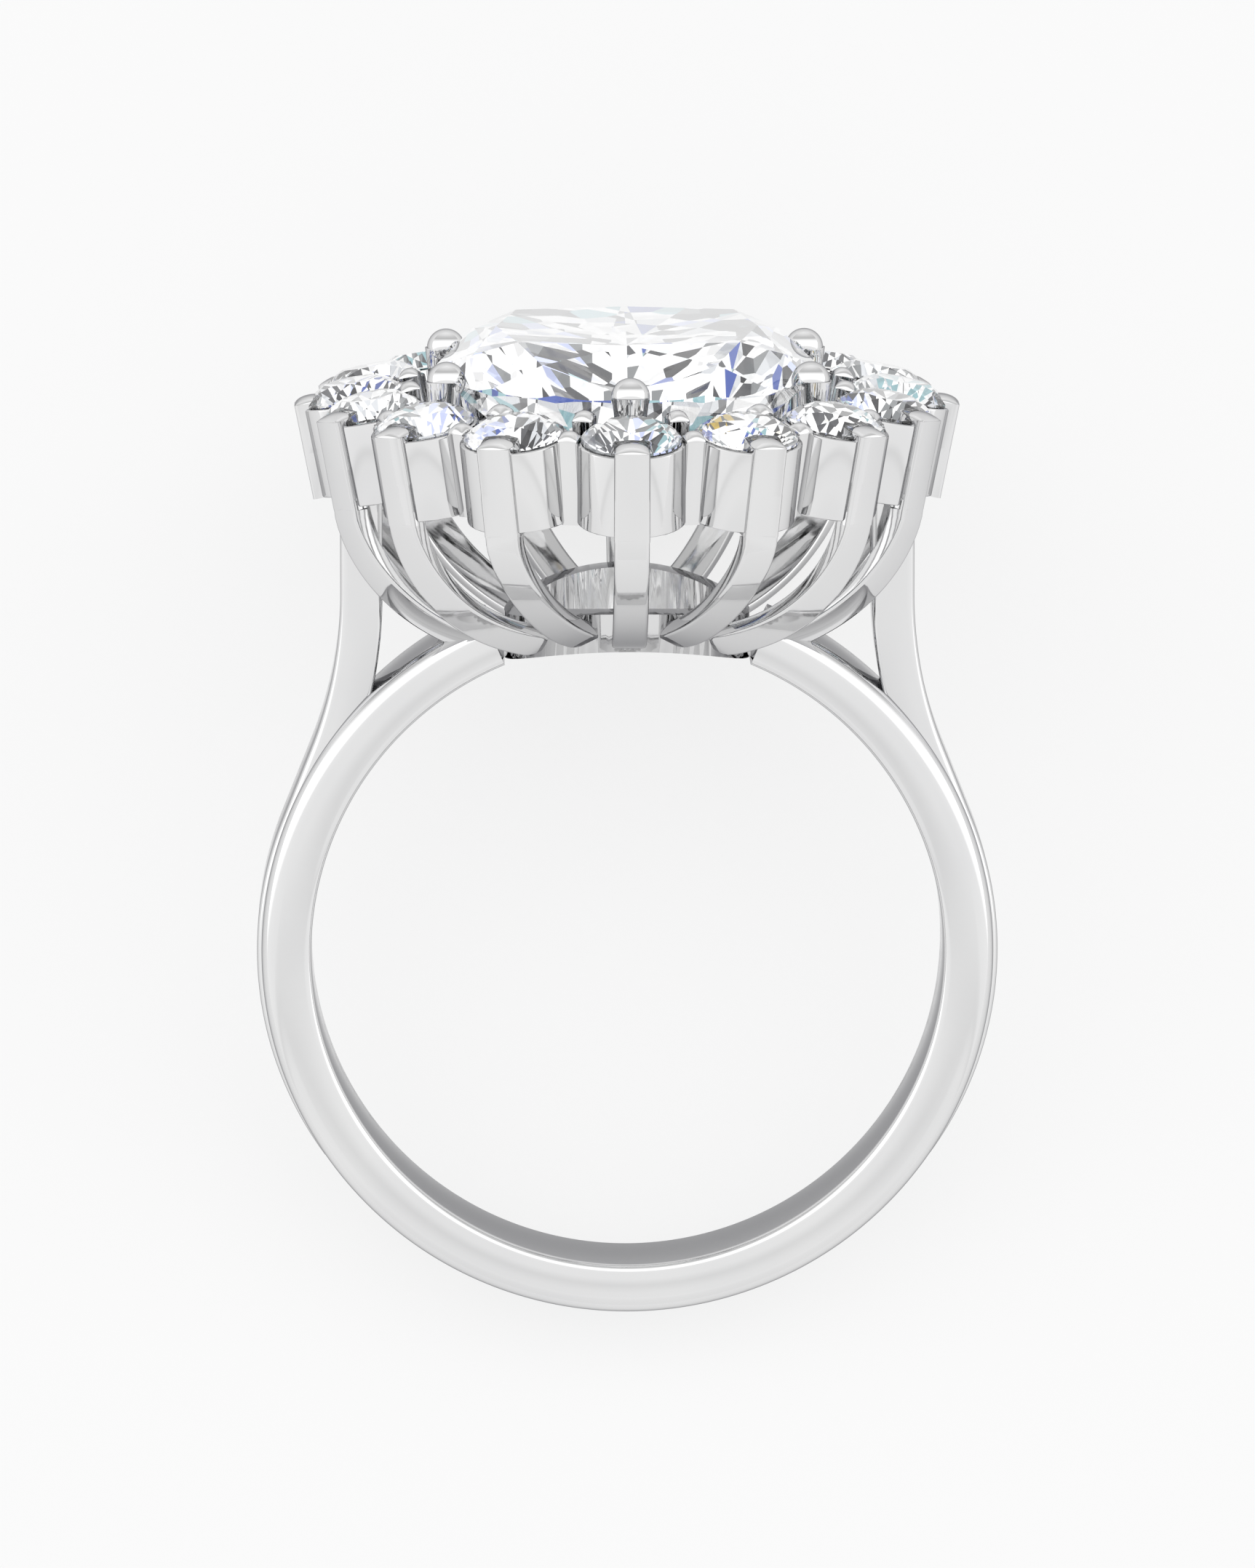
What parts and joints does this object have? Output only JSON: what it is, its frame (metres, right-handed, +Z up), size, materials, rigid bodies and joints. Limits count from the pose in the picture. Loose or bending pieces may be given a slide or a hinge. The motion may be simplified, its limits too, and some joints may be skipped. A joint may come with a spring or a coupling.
{
  "type": "halo engagement ring",
  "caption": "Finger ring with a plain flat-sided band, cathedral shoulders and an oval cluster head: a large oval stone in claws inside a halo of small round stones.",
  "frame": {"origin": "on the surface the ring lies on, under the middle of its bounding box", "axes": "+Z up from the surface, +Y towards the head of the ring, +X across the ring to the right as seen from above with the head at the top"},
  "size_m": [0.0194, 0.0268, 0.0199],
  "materials": {
    "metal": "mirror-polished white gold",
    "centre_stone": "colourless faceted brilliant",
    "halo_stones": "colourless faceted brilliants"
  },
  "bodies": {
    "root": {"shank": "metal", "setting": "metal", "centre_stone": "centre_stone", "halo_stone_01": "halo_stones", "halo_stone_02": "halo_stones", "halo_stone_03": "halo_stones", "halo_stone_04": "halo_stones", "halo_stone_05": "halo_stones", "halo_stone_06": "halo_stones", "halo_stone_07": "halo_stones", "halo_stone_08": "halo_stones", "halo_stone_09": "halo_stones", "halo_stone_10": "halo_stones", "halo_stone_11": "halo_stones", "halo_stone_12": "halo_stones", "halo_stone_13": "halo_stones", "halo_stone_14": "halo_stones", "halo_stone_15": "halo_stones", "halo_stone_16": "halo_stones"}
  },
  "joints": []
}
